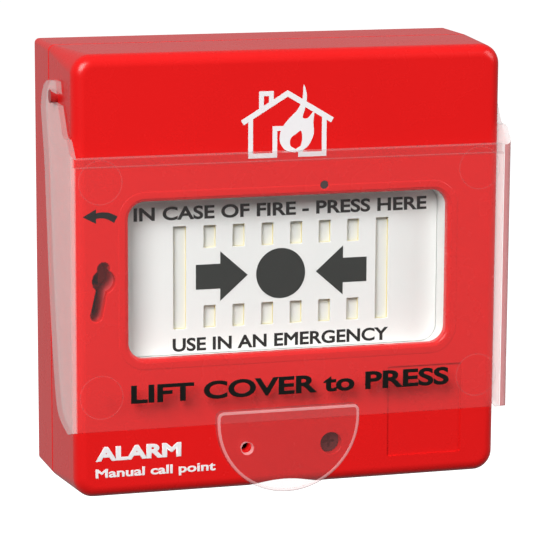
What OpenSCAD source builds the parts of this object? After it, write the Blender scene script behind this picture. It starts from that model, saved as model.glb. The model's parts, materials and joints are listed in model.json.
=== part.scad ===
// Manual fire call point: a square body in two shells, a recessed window with a
// slotted press plate, a key reset, the electrics behind it and a hinged clear cover.
// Origin at the centre of the wall face, +Z up, the front looks along -Y. Millimetres.

/* [Body] */
// Width of the body across the back box
body_w = 105.6; // [104:0.1:107]
// Height of the body
body_h = 104.8; // [103:0.1:106]
// Depth from the wall to the front face
body_d = 40.7; // [40.5:0.1:42]
// Depth of the back box, up to the seam
box_d = 16.5; // [16:0.1:17]
// Wall thickness of both shells
wall_t = 2.2; // [2:0.1:2.4]
// How far each side of the housing leans in towards the face
side_draft = 0.35; // [0.2:0.05:0.5]
// Radius of the upright corners
corner_r = 4; // [2:0.5:5]
// Radius of the front edges
edge_r = 3; // [1:0.5:4]

/* [Window] */
// Width of the window in the front face
window_w = 78.6; // [78:0.1:79]
// Height of the window
window_h = 37.3; // [37:0.1:38]
// Height of the window's centre above the body's centre
window_z = -0.85; // [-1:0.05:-0.5]
// Corner radius of the window
window_r = 4; // [2:0.5:6]
// Depth from the front face to the press plate
plate_depth = 7.3; // [7:0.1:7.5]

/* [Press plate] */
// How far the tray behind the window reaches below it
tray_drop = 1; // [0:0.1:1.5]
// Travel of the press plate
press_travel = 2.5; // [1:0.1:2.5]
// Spacing of the small slots
slot_pitch = 7.14; // [7:0.01:7.2]
// Width of the small slots
slot_w = 3; // [2:0.05:3.2]
// Height of the small slots
slot_h = 5.4; // [4:0.1:6]
// Distance of each slot row from the centre of the print
slot_row = 9.65; // [9:0.05:10]
// Height of the centre of the print
print_z = -1.9; // [-2.5:0.1:-1]

/* [Cover] */
// Gap from the front face to the back of the cover's panel
cover_gap = 2.3; // [2.3:0.1:3]
// Thickness of the cover's panel
panel_t = 2; // [1.5:0.1:2.5]
// Thickness of the cover's side wings
wing_t = 1.2; // [1:0.1:1.3]
// Half width of the cover at its front
cover_half = 53.8; // [53.8:0.05:54]
// Height of the cover's hinge axis
hinge_z = 41.2; // [41:0.1:41.5]
// Distance of the cover's hinge axis from the wall
hinge_y = 24.4; // [24:0.1:25]
// Radius of the hinge studs
stud_r = 1.6; // [1.2:0.05:1.8]
// Radius of the round finger tab below the panel
tab_r = 17.8; // [16:0.1:19]

/* [Key] */
// Distance of the key hole left of the centre
key_x = -45.3; // [-45.5:0.1:-45]
// Height of the key hole
key_z = -0.45; // [-1:0.05:0]

/* [Wall fixing] */
// Distance between the two fixing slots
fix_spacing = 60; // [59:0.5:61]
// Distance between the four corner fixing holes
corner_spacing = 76; // [74:1:78]
// Radius of the wall screw holes
fix_r = 2.25; // [2:0.05:2.5]
// Radius of the cable hole in the grommet
cable_r = 4; // [3:0.5:5]

/* [Hidden] */
$fn = 48;
eps = 0.01;

// Planes from front to back, as distances along Y
y_face = -body_d;
y_seam = -box_d;
y_skin = y_face + wall_t;
y_plate = y_face + plate_depth;
y_plate_back = y_plate + 0.8;
y_slide = y_plate_back + 0.1;
y_slide_back = y_slide + 0.4;
y_carrier = y_slide_back + 0.1;
y_carrier_back = y_plate + 4;
y_chassis = -26;
y_chassis_back = -24;
y_well_end = -18.3;
y_board = -14.5;
y_board_back = y_board + 1.6;

// Inside of the two shells
inner_w = body_w - 2 * wall_t;
inner_h = body_h - 2 * wall_t;
lip_gap = 0.25;
lip_t = 1.4;
lip_len = 1.8;
lip_w = inner_w - 2 * side_draft - 2 * lip_gap;
lip_h = inner_h - 2 * lip_gap;

// Press guide posts and their springs
post_x = 30;
post_z = window_z;
post_r = 2;
well_r = 3.7;
spring_r = 3;

// Trip lever and microswitch
lever_x = 21;
lever_z = 15.5;
lever_y = -21;
lever_pin_r = 1;
boss_z = -0.1;
button_z = 10.5;
button_r = 0.9;

// Key barrel and latch
barrel_r = 3;
latch_z = -12;
latch_y = -23.7;
latch_y_back = -21.2;

// Fastener places
boss_x = 45.5;
boss_top = 28;
boss_low = -30;
board_x = 32;
board_top = 31;
board_low = -25;
screw_x = 10.4;
screw_z = -42.7;
lamp_x = 8.2;
lamp_z = 20.2;
way_pitch = 5;
block_z = -20;
grommet_z = 22;
run_gap = 0.06;

// Cover outline
panel_back = y_face - cover_gap;
panel_front = panel_back - panel_t;
panel_top = 28.9;
panel_low = -35.1;
wing_draft = 0.6;
tab_x = -0.9;
tab_z = -35.6;
seal_x = -11.1;
seal_z = -42.1;
seal_r = 1; // seal hole in the housing, behind the tab's own

// ---------- helpers ----------

// A flat shape in X and Z, made solid from y0 (front) to y1 (back)
module slab(y0, y1) {
  translate([0, y1, 0])
    rotate([90, 0, 0])
      linear_extrude(y1 - y0)
        children();
}

// A flat shape in Y and Z, made solid from x0 to x1
module plank(x0, x1) {
  translate([x0, 0, 0])
    rotate([90, 0, 90])
      linear_extrude(x1 - x0)
        children();
}

module rod_y(x, z, r, y0, y1) {
  translate([x, y1, z])
    rotate([90, 0, 0])
      cylinder(r = r, h = y1 - y0);
}

module rod_x(y, z, r, x0, x1) {
  translate([x0, y, z])
    rotate([0, 90, 0])
      cylinder(r = r, h = x1 - x0);
}

// A block given by its lowest and highest corners
module block(low, high) {
  translate(low) cube(high - low);
}

module rounded_rect(w, h, r) {
  square([w - 2 * r, h], center = true);
  square([w, h - 2 * r], center = true);
  for (sx = [-1, 1], sz = [-1, 1])
    translate([sx * (w / 2 - r), sz * (h / 2 - r)]) circle(r);
}

// A straight slot with round ends, between two points. On a leaning slot the ends are a hair
// smaller than the sides, so that no edge is shorter than the hair.
module round_slot(a, b, w) {
  run = b - a;
  turn = atan2(run[1], run[0]);
  end_r = turn % 90 == 0 ? w / 2 : w / 2 - 0.02;
  translate(a) rotate(turn) translate([0, -w / 2]) square([norm(run), w]);
  translate(a) circle(end_r);
  translate(b) circle(end_r);
}

module window_shape(grow) {
  translate([0, window_z])
    rounded_rect(window_w + 2 * grow, window_h + 2 * grow, window_r + grow);
}

// Outline of the tray behind the window, which reaches a little further down
module tray_shape(grow) {
  translate([0, window_z - tray_drop / 2])
    rounded_rect(window_w + 2 * grow, window_h + tray_drop + 2 * grow, window_r + grow);
}

// The four corners of a rectangle
function corners(x, top, low) = [[-x, top], [x, top], [-x, low], [x, low]];

// One ring of points on a helix that climbs Z
function coil_ring(r, wire, pitch, turn, sides) = [
  for (k = [0 : sides - 1])
    let (a = 360 * k / sides, reach = r + wire * cos(a))
      [reach * cos(turn), reach * sin(turn), pitch * turn / 360 + wire * sin(a)]
];

// Compression spring along +Z, starting at 0
module coil_spring(r, wire, turns, len) {
  steps = 12;
  sides = 6;
  rings = turns * steps;
  pitch = (len - 2 * wire) / turns;
  points = [
    for (i = [0 : rings])
      each coil_ring(r, wire, pitch, 360 * i / steps, sides)
  ];
  last = rings * sides;
  skin = [
    for (i = [0 : rings - 1], k = [0 : sides - 1])
      let (a = i * sides + k, b = i * sides + (k + 1) % sides)
        each [[a, a + sides, b], [b, a + sides, b + sides]]
  ];
  ends = [[for (k = [0 : sides - 1]) k], [for (k = [sides - 1 : -1 : 0]) last + k]];
  translate([0, 0, wire]) polyhedron(points, concat(skin, ends), convexity = 8);
}

// Pan-head screw that points along -Y: the head starts at y
module screw_y(x, z, head_r, head_t, shank_r, shank_len, y) {
  difference() {
    rod_y(x, z, head_r, y, y + head_t);
    block([x - head_r, y + head_t - 0.6, z - 0.3], [x + head_r, y + head_t + eps, z + 0.3]);
  }
  rod_y(x, z, shank_r, y - shank_len, y);
}

// ---------- shells ----------

module back_box() {
  color([0.80, 0.10, 0.10]) difference() {
    union() {
      slab(y_seam, 0) rounded_rect(body_w, body_h, 1.5);
      slab(y_seam - lip_len, y_seam + 1)
        rounded_rect(lip_w, lip_h, 2.3);
    }
    slab(y_seam - lip_len - 1, -wall_t)
      rounded_rect(lip_w - 2 * lip_t, lip_h - 2 * lip_t, 1);
    for (p = corners(corner_spacing / 2, corner_spacing / 2, -corner_spacing / 2))
      rod_y(p[0], p[1], fix_r, -wall_t - 1, 1);
    for (s = [-1, 1])
      slab(-wall_t - 1, 1)
        round_slot([s * fix_spacing / 2 - 2.5, 0], [s * fix_spacing / 2 + 2.5, 0], 2 * fix_r);
    rod_y(0, grommet_z, 9, -wall_t - 1, 1);
  }
  color([0.80, 0.10, 0.10]) {
    for (p = corners(corner_spacing / 2, corner_spacing / 2, -corner_spacing / 2))
      difference() {
        rod_y(p[0], p[1], fix_r + 2.2, -wall_t - 1.5, -wall_t + eps);
        rod_y(p[0], p[1], fix_r, -wall_t - 2, 0);
      }
    difference() {
      rod_y(screw_x, screw_z, 3.5, y_face + 6.4, -wall_t + eps);
      rod_y(screw_x, screw_z, 1.45, y_face + 6, -18);
    }
  }
}

module cable_grommet() {
  color([0.12, 0.12, 0.13]) difference() {
    union() {
      rod_y(0, grommet_z, 8.9, -wall_t, 0);
      rod_y(0, grommet_z, 11, -wall_t - 1.5, -wall_t);
    }
    rod_y(0, grommet_z, cable_r, -wall_t - 2, 1);
  }
}

// Plan of the housing: straight sides that lean in, round front edges
module housing_plan() {
  half = body_w / 2 - 0.05;
  front = half - side_draft;
  polygon([
    [-half, y_seam], [half, y_seam], [front, y_face + edge_r], [front - edge_r, y_face],
    [-front + edge_r, y_face], [-front, y_face + edge_r]
  ]);
  for (s = [-1, 1])
    translate([s * (front - edge_r), y_face + edge_r]) circle(edge_r);
}

module housing_side() {
  half = body_h / 2;
  polygon([
    [y_seam, -half], [y_seam, half], [y_face + edge_r, half], [y_face, half - edge_r],
    [y_face, -half + edge_r], [y_face + edge_r, -half]
  ]);
  for (s = [-1, 1])
    translate([y_face + edge_r, s * (half - edge_r)]) circle(edge_r);
}

// Key-shaped hole: round hub, short lobe above it, leaning leg below it
module key_shape(grow) {
  translate([key_x, key_z]) {
    circle(2.75 + grow);
    round_slot([0, 0], [0, 3], 3 + 2 * grow);
    round_slot([0, 0], [-1.8, -8.1], 2.8 + 2 * grow);
  }
}

module front_housing() {
  hole_top = y_face + 6.2;
  color([0.88, 0.12, 0.12]) difference() {
    union() {
      difference() {
        intersection() {
          slab(y_face, y_seam) rounded_rect(body_w, body_h, corner_r);
          translate([0, 0, -body_h]) linear_extrude(2 * body_h) housing_plan();
          plank(-body_w, body_w) housing_side();
        }
        slab(y_skin, y_seam + 1) rounded_rect(inner_w - 2 * side_draft, inner_h, 2.5);
      }
      for (p = corners(boss_x, boss_top, boss_low))
        rod_y(p[0], p[1], 3, y_skin - eps, y_chassis);
      rod_y(screw_x, screw_z, 4.4, y_skin - eps, hole_top);
    }
    slab(y_face - 1, y_skin + 1) window_shape(0);
    slab(y_face - 1, y_skin + 1) key_shape(0);
    for (p = corners(boss_x, boss_top, boss_low))
      rod_y(p[0], p[1], 1.25, y_chassis - 8, y_chassis + 1);
    rod_y(screw_x, screw_z, 2.6, y_face - 1, y_face + 4.1);
    rod_y(screw_x, screw_z, 1.6, y_face, hole_top + 1);
    rod_y(lamp_x, lamp_z, 1, y_face - 1, y_skin + 1);
    rod_y(seal_x, seal_z, seal_r, y_face - 1, y_skin + 1);
    for (s = [-1, 1])
      rod_x(-hinge_y, hinge_z, stud_r + 0.02, s * 52 - 4, s * 52 + 4);
    block([24.6, y_face - 1, -47], [43.4, y_face + 0.3, -24.8]);
    translate([-1.2, 0, -body_h / 2 - 26.2]) rod_y(0, 0, 27.7, y_face - 1, y_face + 12);
  }
}

module housing_screw() {
  color([0.16, 0.16, 0.17]) difference() {
    union() {
      rod_y(screw_x, screw_z, 2.4, y_face + 2.1, y_face + 4.1);
      rod_y(screw_x, screw_z, 1.4, y_face + 4, -20);
    }
    for (turn = [0, 90])
      translate([screw_x, 0, screw_z])
        rotate([0, turn, 0])
          block([-1.5, y_face + 2, -0.35], [1.5, y_face + 3.2, 0.35]);
  }
}

// Studs in the housing's sides, each with a head inside
module hinge_studs() {
  color([0.70, 0.06, 0.07]) for (s = [-1, 1]) mirror([s < 0 ? 1 : 0, 0, 0]) {
    rod_x(-hinge_y, hinge_z, stud_r, inner_w / 2 - side_draft - eps, cover_half + 0.5);
    rod_x(-hinge_y, hinge_z, stud_r + 1, inner_w / 2 - side_draft - 1, inner_w / 2 - side_draft);
  }
}

module window_tray() {
  color([0.93, 0.93, 0.91]) difference() {
    union() {
      slab(y_skin, y_plate + 1.9) tray_shape(1.2);
      slab(y_skin, y_skin + 1)
        translate([0, window_z]) rounded_rect(window_w + 4.4, window_h + 2.4, 3);
    }
    slab(y_skin - 1, y_plate + 3) tray_shape(0);
  }
}

module key_guide() {
  color([0.08, 0.08, 0.09]) difference() {
    slab(y_skin, y_skin + 7.2)
      translate([key_x, key_z - 2.6]) rounded_rect(7.4, 18.5, 1.5);
    slab(y_skin - 1, y_skin + 8) key_shape(0);
  }
}

module light_pipe() {
  color([0.25, 0.22, 0.22]) rod_y(lamp_x, lamp_z, 0.95, y_face + 0.2, -20.6);
}

// ---------- fixed frame ----------

module chassis() {
  color([0.90, 0.90, 0.88]) difference() {
    union() {
      slab(y_chassis, y_chassis_back) rounded_rect(99.2, 75, 3);
      for (s = [-1, 1])
        rod_y(s * post_x, post_z, well_r + 0.9, y_chassis_back - 1, y_well_end);
      for (p = corners(board_x, board_top, board_low))
        rod_y(p[0], p[1], 2.5, y_chassis_back - 1, y_board);
      for (x = [lever_x - 3.4, lever_x + 2.2])
        block([x, y_chassis_back - 1, lever_z - 2.5], [x + 1.2, lever_y + 2.2, lever_z + 2.5]);
      for (z = [latch_z - 3.8, latch_z + 2.8]) {
        block([-35, y_chassis_back - 1, z], [-12, latch_y_back + 0.3, z + 1]);
      }
      block([-35, latch_y_back + 0.3, latch_z - 3.8], [-12, latch_y_back + 1.1, latch_z - 2]);
      block([-35, latch_y_back + 0.3, latch_z + 2], [-12, latch_y_back + 1.1, latch_z + 3.8]);
      block([-1, y_chassis_back - 1, latch_z - 2.5], [0.5, latch_y_back + 0.5, latch_z + 2.5]);
    }
    for (p = corners(boss_x, boss_top, boss_low))
      rod_y(p[0], p[1], 1.3, y_chassis - 1, y_chassis_back + 1);
    for (s = [-1, 1]) {
      rod_y(s * post_x, post_z, well_r, y_chassis - 1, y_well_end - 1.2);
      rod_y(s * post_x, post_z, post_r + run_gap, y_chassis, y_well_end + 1);
    }
    for (p = corners(board_x, board_top, board_low))
      rod_y(p[0], p[1], 1.25, y_chassis_back + 1, y_board + 1);
    rod_x(lever_y, lever_z, lever_pin_r + 0.03, lever_x - 5, lever_x + 5);
    rod_y(lamp_x, lamp_z, 1.4, y_chassis - 1, y_chassis_back + 1);
    rod_y(key_x, key_z, barrel_r + run_gap, y_chassis - 1, y_chassis_back + 1);
    block([lever_x - 2, y_chassis - 1, -2.2], [lever_x + 2, y_chassis_back + 1, 2]);
    block([-21, y_chassis - 1, latch_z - 2], [-16.5, y_chassis_back + 1, latch_z + 2]);
  }
}

module chassis_screws() {
  color([0.75, 0.76, 0.78])
    for (p = corners(boss_x, boss_top, boss_low))
      screw_y(p[0], p[1], 2.2, 1.5, 1.2, 9, y_chassis_back);
}

module circuit_board() {
  color([0.05, 0.35, 0.16]) difference() {
    slab(y_board, y_board_back) translate([0, 3]) rounded_rect(72, 64, 1.5);
    for (p = corners(board_x, board_top, board_low))
      rod_y(p[0], p[1], 1.3, y_board - 1, y_board_back + 1);
    for (i = [-1 : 1])
      block([lever_x + i * 5.08 - 0.7, y_board - 1, 8.5], [lever_x + i * 5.08 + 0.7, y_board_back + 1, 9.5]);
  }
}

module board_screws() {
  color([0.75, 0.76, 0.78])
    for (p = corners(board_x, board_top, board_low))
      screw_y(p[0], p[1], 2.2, 1.4, 1.2, 6, y_board_back);
}

// Six-way block on the back of the board: wires enter from below
module terminal_block() {
  y_top = y_board_back + 8;
  color([0.12, 0.36, 0.20]) difference() {
    union() {
      block([-15.2, y_board_back, block_z - 4], [15.2, y_top, block_z + 3]);
      block([-15.2, y_board_back, block_z + 3], [15.2, y_top - 3, block_z + 5]);
    }
    for (i = [0 : 5]) {
      x = (i - 2.5) * way_pitch;
      block([x - 1.9, y_board_back + 1, block_z - 5], [x + 1.9, y_top - 3, block_z + 2]);
      rod_y(x, block_z - 0.8, 1.75, y_top - 4, y_top + 1);
    }
  }
}

module terminal_clamps() {
  color([0.78, 0.66, 0.32]) for (i = [0 : 5]) {
    x = (i - 2.5) * way_pitch;
    difference() {
      block([x - 1.8, y_board_back + 1.1, block_z - 3], [x + 1.8, y_board_back + 4.9, block_z + 1.8]);
      block([x - 1.2, y_board_back + 1.7, block_z - 4], [x + 1.2, y_board_back + 3.7, block_z + 3]);
      rod_y(x, block_z - 0.8, 1.05, y_board_back + 3, y_board_back + 6);
    }
  }
}

module terminal_screws() {
  color([0.75, 0.76, 0.78]) for (i = [0 : 5])
    screw_y((i - 2.5) * way_pitch, block_z - 0.8, 1.6, 1.6, 1, 2.8, y_board_back + 5.6);
}

// ---------- switch, lamp and small electrics ----------

module microswitch_body() {
  color([0.10, 0.10, 0.11]) difference() {
    block([lever_x - 6.4, -20, 5.9], [lever_x + 6.4, y_board, 12.1]);
    rod_y(lever_x, button_z, button_r + run_gap, -21, -17.2);
    for (x = [-3.3, 3.3])
      translate([lever_x + x, -16.6, 5]) cylinder(r = 1, h = 8);
  }
}

module microswitch_terminals() {
  color([0.80, 0.70, 0.40]) for (i = [-1 : 1])
    block([lever_x + i * 5.08 - 0.5, y_board, 8.7], [lever_x + i * 5.08 + 0.5, y_board_back + 1.2, 9.3]);
}

module microswitch_button() {
  color([0.75, 0.12, 0.12]) rod_y(lever_x, button_z, button_r, -21.4, -18.6);
}

module status_led() {
  color([0.85, 0.10, 0.10]) {
    rod_y(lamp_x, lamp_z, 1.9, -16.2, y_board);
    rod_y(lamp_x, lamp_z, 1.5, -18.6, -16.2);
    translate([lamp_x, -18.6, lamp_z]) sphere(1.5);
  }
}

// Three resistors on the front of the board, with flat leads bent down to it
module resistors() {
  y = y_board - 1.4;
  z = block_z - 3;
  lead = 0.25;
  color([0.75, 0.62, 0.42]) for (x = [-17, -5, 7]) {
    rod_x(y, z, 1.1, x - 3, x + 3);
    for (s = [-1, 1]) {
      middle = x + s * 4;
      block([middle - 1.2, y - lead, z - lead], [middle + 1.2, y + lead, z + lead]);
      block([middle + s - lead, y, z - lead], [middle + s + lead, y_board, z + lead]);
    }
  }
}

// ---------- press mechanism ----------

module slot_shapes(grow) {
  for (i = [0 : 5], s = [-1, 1])
    translate([(i - 2.5) * slot_pitch, print_z + s * slot_row])
      square([slot_w + 2 * grow, slot_h + 2 * grow], center = true);
  for (s = [-1, 1])
    translate([s * 25.2, print_z]) square([3.2 + 2 * grow, 24.8 + 2 * grow], center = true);
}

module press_plate() {
  color([0.94, 0.94, 0.92]) slab(y_plate, y_plate_back) difference() {
    tray_shape(-0.25);
    slot_shapes(0);
  }
}

module press_carrier() {
  color([0.92, 0.92, 0.90]) {
    slab(y_carrier, y_carrier_back) tray_shape(-0.4);
    slab(y_plate_back, y_carrier + eps) difference() {
      tray_shape(-0.4);
      translate([0, print_z]) square([71.6, 29.8], center = true);
    }
    for (s = [-1, 1])
      rod_y(s * post_x, post_z, post_r, y_carrier_back - eps, -17.6);
    block([lever_x - 1.2, y_carrier_back - eps, boss_z - 0.6], [lever_x + 1.2, -23.5, boss_z + 0.6]);
    block([-19.5, y_carrier_back - eps, latch_z - 1], [-18, -22.6, latch_z + 1]);
  }
}

module indicator_slide() {
  color([0.93, 0.80, 0.12]) slab(y_slide, y_slide_back) difference() {
    translate([0, print_z]) square([63, 29], center = true);
    slot_shapes(0.05);
  }
}

module return_springs() {
  color([0.70, 0.71, 0.73]) for (s = [-1, 1])
    translate([s * post_x, y_carrier_back + 0.02, post_z])
      rotate([-90, 0, 0])
        coil_spring(spring_r, 0.3, 7, y_well_end - 1.2 - y_carrier_back - 0.04);
}

module trip_lever() {
  color([0.14, 0.14, 0.15]) difference() {
    union() {
      rod_x(lever_y, lever_z, 2, lever_x - 1.7, lever_x + 1.7);
      block([lever_x - 1.4, lever_y - 2.2, -2], [lever_x + 1.4, lever_y - 0.7, lever_z]);
    }
    rod_x(lever_y, lever_z, lever_pin_r + run_gap, lever_x - 3, lever_x + 3);
  }
}

module lever_pin() {
  color([0.75, 0.76, 0.78]) rod_x(lever_y, lever_z, lever_pin_r, lever_x - 3.6, lever_x + 3.6);
}

module key_barrel() {
  color([0.12, 0.12, 0.13]) difference() {
    union() {
      rod_y(key_x, key_z, barrel_r, y_skin + 7.5, -21.4);
      rod_y(key_x, key_z, 4, y_skin + 7.5, y_skin + 8.7);
      block([key_x - 1.5, -23, key_z - 7], [key_x + 1.5, -21.4, key_z]);
    }
    block([key_x - 0.8, y_skin + 7, key_z - 2.4], [key_x + 0.8, y_skin + 12, key_z + 2.4]);
    difference() {
      rod_y(key_x, key_z, barrel_r + 1, -23.7, -23.1);
      rod_y(key_x, key_z, barrel_r - 0.6, -24, -23);
    }
  }
}

// Spring clip in the groove behind the chassis
module barrel_clip() {
  color([0.70, 0.71, 0.73]) slab(-23.65, -23.15) difference() {
    translate([key_x, key_z]) circle(4.1);
    translate([key_x, key_z]) circle(barrel_r - 0.5);
    translate([key_x - 1.6, key_z]) square([3.2, 6]);
  }
}

module latch_slide() {
  left = key_x + 1.5 + 0.6;
  color([0.85, 0.42, 0.10]) difference() {
    union() {
      block([left, latch_y, latch_z - 2.5], [-11, latch_y_back, latch_z + 2.5]);
      block([left, latch_y, latch_z - 2.5], [left + 2.5, latch_y_back, key_z - 3.9]);
    }
    block([-25, latch_y - 1, latch_z - 1.6], [-17.5, latch_y_back + 1, latch_z + 1.6]);
  }
}

module latch_spring() {
  color([0.70, 0.71, 0.73])
    translate([-10.98, (latch_y + latch_y_back) / 2, latch_z])
      rotate([0, 90, 0])
        coil_spring(0.95, 0.2, 9, 9.96);
}

// ---------- cover ----------

// Side view of the cover: front, stepped arm up to the hinge, curved back edge
module cover_side() {
  polygon([
    [panel_front, panel_low], [panel_front, panel_top], [-40.5, 33], [-37.1, 33.2],
    [-34.7, 36.8], [-31.9, 41.1], [-31, 43.4], [-30.4, 45.4], [-25.3, 45.1],
    [-20, 44.2], [-16.3, 41.7], [-14.6, 37.9], [-15.4, 33], [-17.7, 25.1],
    [-18.9, 15.7], [-22.1, -7.9], [-26.5, -27.8], [-30.4, -34.2], [-39.4, -36.7]
  ]);
}

// Plan of the cover: panel and two wings that lean out towards the wall
module cover_plan() {
  wall = panel_back;
  tail = -10;
  out = cover_half + wing_draft;
  polygon([
    [-cover_half, panel_front], [cover_half, panel_front], [out, tail], [out - wing_t, tail],
    [cover_half - wing_t, wall], [-cover_half + wing_t, wall], [-out + wing_t, tail], [-out, tail]
  ]);
}

module cover_flap() {
  color([0.93, 0.90, 0.90, 0.35]) difference() {
    union() {
      intersection() {
        plank(-60, 60) cover_side();
        translate([0, 0, -60]) linear_extrude(120) cover_plan();
      }
      block([-cover_half + 1, panel_back - eps, panel_top - 2.3], [cover_half - 1, y_face - 0.6, panel_top]);
      slab(panel_back - 0.1, y_face - 0.6) {
        translate([tab_x, tab_z]) circle(tab_r);
        translate([tab_x - tab_r, tab_z]) square([2 * tab_r, 3]);
      }
    }
    rod_y(seal_x, seal_z, 1.35, panel_back - 1, y_face);
    for (s = [-1, 1])
      rod_x(-hinge_y, hinge_z, stud_r + run_gap, s * 53.8 - 2, s * 53.8 + 2);
    for (s = [-1, 1])
      plank(s * 53.8 - 2, s * 53.8 + 2)
        translate([-hinge_y - 8, hinge_z - 1.3]) square([8, 2.6]);
    translate([0, 0, tab_z + 3]) block([-30, panel_back, 0], [-tab_r + tab_x, y_face, 20]);
    block([-cover_half + wing_t, panel_front - 1, panel_top], [cover_half - wing_t, y_face, 60]);
  }
}

back_box();
cable_grommet();
front_housing();
housing_screw();
hinge_studs();
window_tray();
key_guide();
light_pipe();
chassis();
chassis_screws();
circuit_board();
board_screws();
terminal_block();
terminal_clamps();
terminal_screws();
microswitch_body();
microswitch_terminals();
status_led();
resistors();
lever_pin();
barrel_clip();
press_plate();
press_carrier();
indicator_slide();
return_springs();
trip_lever();
microswitch_button();
key_barrel();
latch_slide();
latch_spring();
cover_flap();
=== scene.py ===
import json
import math

import bmesh
import bpy
from mathutils import Matrix, Vector

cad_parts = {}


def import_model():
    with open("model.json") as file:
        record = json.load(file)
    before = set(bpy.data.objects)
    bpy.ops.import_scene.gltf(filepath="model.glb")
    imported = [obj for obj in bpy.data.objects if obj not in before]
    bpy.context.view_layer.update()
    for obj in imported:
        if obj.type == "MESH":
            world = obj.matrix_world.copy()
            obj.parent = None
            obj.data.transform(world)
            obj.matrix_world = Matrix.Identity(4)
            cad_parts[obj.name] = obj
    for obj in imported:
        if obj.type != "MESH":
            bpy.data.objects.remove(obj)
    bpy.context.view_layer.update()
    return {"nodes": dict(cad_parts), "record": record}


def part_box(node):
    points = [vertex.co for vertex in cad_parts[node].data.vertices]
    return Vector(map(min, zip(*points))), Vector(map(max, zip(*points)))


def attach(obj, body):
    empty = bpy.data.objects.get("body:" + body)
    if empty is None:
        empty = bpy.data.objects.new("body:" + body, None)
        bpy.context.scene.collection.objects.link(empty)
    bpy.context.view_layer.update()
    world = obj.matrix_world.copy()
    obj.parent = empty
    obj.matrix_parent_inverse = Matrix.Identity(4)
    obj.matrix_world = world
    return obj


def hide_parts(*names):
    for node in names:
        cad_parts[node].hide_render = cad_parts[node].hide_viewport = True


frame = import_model()
NODES = frame["nodes"]
SCENE = bpy.context.scene
MM = 0.001

# ---------------------------------------------------------------- dimensions, in millimetres


def box_mm(node):
    """Lowest and highest corner of a CAD node, in millimetres."""
    low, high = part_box(node)
    return low / MM, high / MM


BACK_HIGH = box_mm("back_box")[1]
FRONT_LOW, FRONT_HIGH = box_mm("front_housing")
PLATE_LOW, PLATE_HIGH = box_mm("press_plate")
COVER_LOW = box_mm("cover_flap")[0]
SCREW_LOW, SCREW_HIGH = box_mm("housing_screw")
PIPE_LOW, PIPE_HIGH = box_mm("light_pipe")
STUD_LOW, STUD_HIGH = box_mm("hinge_studs")

HALF_W = BACK_HIGH.x
HALF_H = BACK_HIGH.z
FACE_Y = FRONT_LOW.y
SEAM_Y = FRONT_HIGH.y
WALL = 2.2
SKIN_Y = FACE_Y + WALL
FACE_HALF_W = HALF_W - 0.4
SEAM_HALF_W = HALF_W - 0.05
EDGE_R = 3.0

WINDOW_X = 39.3
WINDOW_Z = -0.85
WINDOW_H = 18.65
WINDOW_R = 4.0
PLATE_Y = PLATE_LOW.y
PRINT_Z = -1.9
KEY = (-45.3, -0.45)
LAMP = ((PIPE_LOW.x + PIPE_HIGH.x) / 2, (PIPE_LOW.z + PIPE_HIGH.z) / 2)
SCREW = ((SCREW_LOW.x + SCREW_HIGH.x) / 2, (SCREW_LOW.z + SCREW_HIGH.z) / 2)
HINGE_Z = (STUD_LOW.z + STUD_HIGH.z) / 2
HINGE_Y = (STUD_LOW.y + STUD_HIGH.y) / 2
STUD_R = 1.6

PANEL_FRONT = COVER_LOW.y
PANEL_BACK = PANEL_FRONT + 2.0
PANEL_TOP = 28.9
PANEL_LOW = -35.1
COVER_HALF = 53.8
WING_T = 1.2
TAB = (-0.9, -35.6)
TAB_R = 17.8
SEAL_HOLE = (-11.1, -42.1)

# ---------------------------------------------------------------- outlines: lists of (across, up)


def arc(cx, cz, r, start, end, steps):
    """Points on an arc, both ends included, angles in degrees."""
    return [
        (
            cx + r * math.cos(math.radians(start + (end - start) * i / steps)),
            cz + r * math.sin(math.radians(start + (end - start) * i / steps)),
        )
        for i in range(steps + 1)
    ]


def circle(cx, cz, r, steps=48):
    return arc(cx, cz, r, 0, 360 - 360 / steps, steps - 1)


def rounded_rect(half_w, half_h, r, cx=0.0, cz=0.0, steps=10):
    """A rectangle with round corners, anticlockwise from the right side's top end."""
    points = []
    for sx, sz, start in ((1, 1, 0), (-1, 1, 90), (-1, -1, 180), (1, -1, 270)):
        points += arc(cx + sx * (half_w - r), cz + sz * (half_h - r), r, start, start + 90, steps)
    return points


def capsule(a, b, width, steps=12):
    """A straight slot with round ends from point a to point b."""
    heading = math.degrees(math.atan2(b[1] - a[1], b[0] - a[0]))
    r = width / 2
    return arc(*b, r, heading - 90, heading + 90, steps) + arc(*a, r, heading + 90, heading + 270, steps)


def smooth_curve(points, steps=6):
    """A Catmull-Rom curve through the points, ends included."""
    padded = [points[0]] + list(points) + [points[-1]]
    out = []
    for i in range(1, len(padded) - 2):
        p0, p1, p2, p3 = (Vector(p) for p in padded[i - 1 : i + 3])
        for k in range(steps):
            t = k / steps
            q = 0.5 * (
                2 * p1
                + (p2 - p0) * t
                + (2 * p0 - 5 * p1 + 4 * p2 - p3) * t * t
                + (3 * p1 - p0 - 3 * p2 + p3) * t * t * t
            )
            out.append(tuple(q))
    out.append(tuple(points[-1]))
    return out


def round_corners(points, radii, steps=6):
    """A closed outline with each corner rounded by its radius (0 leaves it sharp)."""
    out = []
    count = len(points)
    for i, (point, r) in enumerate(zip(points, radii)):
        p = Vector(point)
        to_last = (Vector(points[i - 1]) - p).normalized()
        to_next = (Vector(points[(i + 1) % count]) - p).normalized()
        half = to_last.angle(to_next) / 2
        if r <= 0 or half > math.radians(89):
            out.append(tuple(p))
            continue
        reach = r / math.tan(half)
        centre = p + (to_last + to_next).normalized() * (r / math.sin(half))
        first = p + to_last * reach - centre
        last = p + to_next * reach - centre
        sweep = first.angle_signed(last)
        for k in range(steps + 1):
            turn = Matrix.Rotation(-sweep * k / steps, 2)
            out.append(tuple(centre + turn @ first))
    return out


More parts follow.
